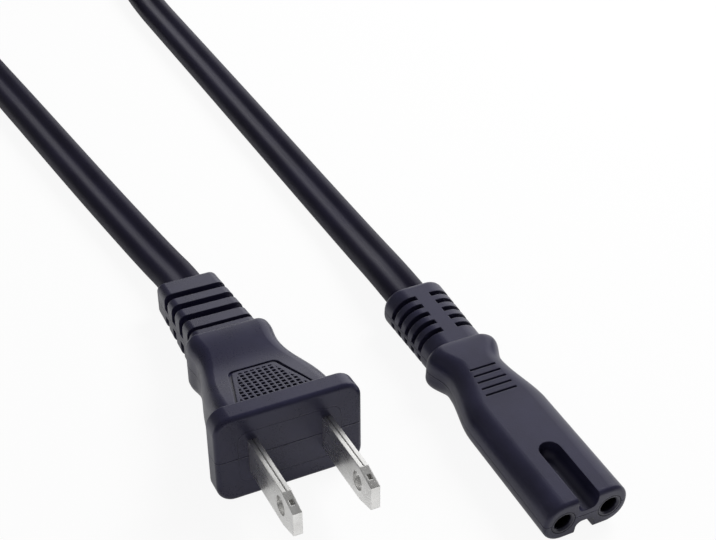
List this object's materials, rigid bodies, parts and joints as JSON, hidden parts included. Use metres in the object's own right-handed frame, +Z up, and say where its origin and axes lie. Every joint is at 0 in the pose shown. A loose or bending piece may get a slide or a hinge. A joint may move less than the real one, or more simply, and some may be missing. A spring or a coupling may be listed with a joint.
{
  "type": "figure eight power connector",
  "caption": "Moulded figure eight mains connector with keying grooves and slotted strain relief, on a flat two-core lead with a two-blade plug.",
  "frame": {"origin": "under the middle of the connector, on the surface that it lies on", "axes": "+Y from the socket face towards the connector's cord, +Z up, +X to the right seen from the socket face's back"},
  "size_m": [0.0762, 0.3498, 0.0184],
  "materials": {
    "connector_shell": "satin moulded soft plastic, near black",
    "connector_carrier": "fine matt moulded plastic",
    "socket_brass": "bare rolled strip",
    "core_insulation": "smooth insulation",
    "copper_strands": "twisted bare copper",
    "plug_shell": "satin moulded soft plastic, near black",
    "plug_carrier": "fine matt moulded plastic",
    "blade_nickel": "bright nickel plate over folded strip",
    "cord_jacket": "smooth extruded jacket with a soft sheen",
    "tie_strap": "black woven strap"
  },
  "bodies": {
    "root": {"connector_body": "connector_shell", "connector_insert": "connector_carrier", "plug_body": "plug_shell", "plug_insert": "plug_carrier", "socket_contact_left": "socket_brass", "connector_core_left": "core_insulation", "connector_strand_left": "copper_strands", "plug_blade_left": "blade_nickel", "plug_core_left": "core_insulation", "plug_strand_left": "copper_strands", "cord_tie_left": "tie_strap", "socket_contact_right": "socket_brass", "connector_core_right": "core_insulation", "connector_strand_right": "copper_strands", "plug_blade_right": "blade_nickel", "plug_core_right": "core_insulation", "plug_strand_right": "copper_strands", "cord_tie_right": "tie_strap", "cord_to_connector": "cord_jacket", "cord_to_plug": "cord_jacket", "cord_coil": "cord_jacket"}
  },
  "joints": []
}
